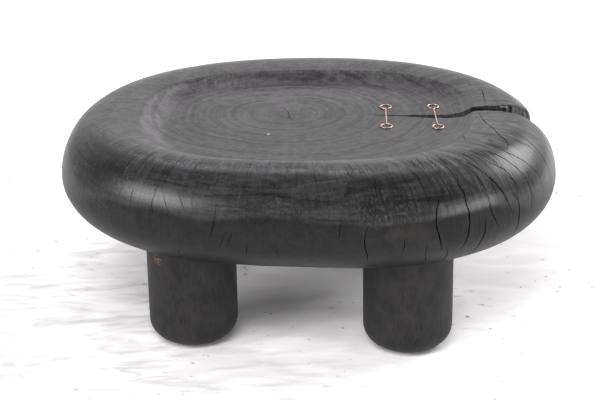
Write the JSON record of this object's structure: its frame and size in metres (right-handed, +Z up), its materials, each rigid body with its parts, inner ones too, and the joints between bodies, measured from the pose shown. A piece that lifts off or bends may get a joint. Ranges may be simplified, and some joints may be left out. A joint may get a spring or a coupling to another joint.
{
  "type": "coffee table",
  "caption": "Low live edge coffee table: a thick charred log slice with a shallow dish, rounded rim and copper-tied drying split, on stout round legs.",
  "frame": {"origin": "on the floor, under the middle of the slab's box", "axes": "+X along the slab's long axis towards the split end, +Y from the front to the back, +Z up"},
  "size_m": [1.002, 0.7888, 0.412],
  "materials": {
    "charred_slab": "charred, brushed and oiled",
    "charred_leg": "charred, brushed, matte",
    "copper_wire": "bright drawn copper",
    "bolt_steel": "zinc plated",
    "insert_brass": "as machined",
    "felt": "pressed felt"
  },
  "bodies": {
    "root": {"slab_top": "charred_slab", "leg_front_left": "charred_leg", "leg_front_right": "charred_leg", "leg_back_left": "charred_leg", "leg_back_right": "charred_leg", "felt_glide_front_left": "felt", "felt_glide_front_right": "felt", "felt_glide_back_left": "felt", "felt_glide_back_right": "felt", "hanger_bolt_front_left": "bolt_steel", "hanger_bolt_front_right": "bolt_steel", "hanger_bolt_back_left": "bolt_steel", "hanger_bolt_back_right": "bolt_steel", "threaded_insert_front_left": "insert_brass", "threaded_insert_front_right": "insert_brass", "threaded_insert_back_left": "insert_brass", "threaded_insert_back_right": "insert_brass", "copper_tie_inner": "copper_wire", "copper_tie_outer": "copper_wire"}
  },
  "joints": []
}
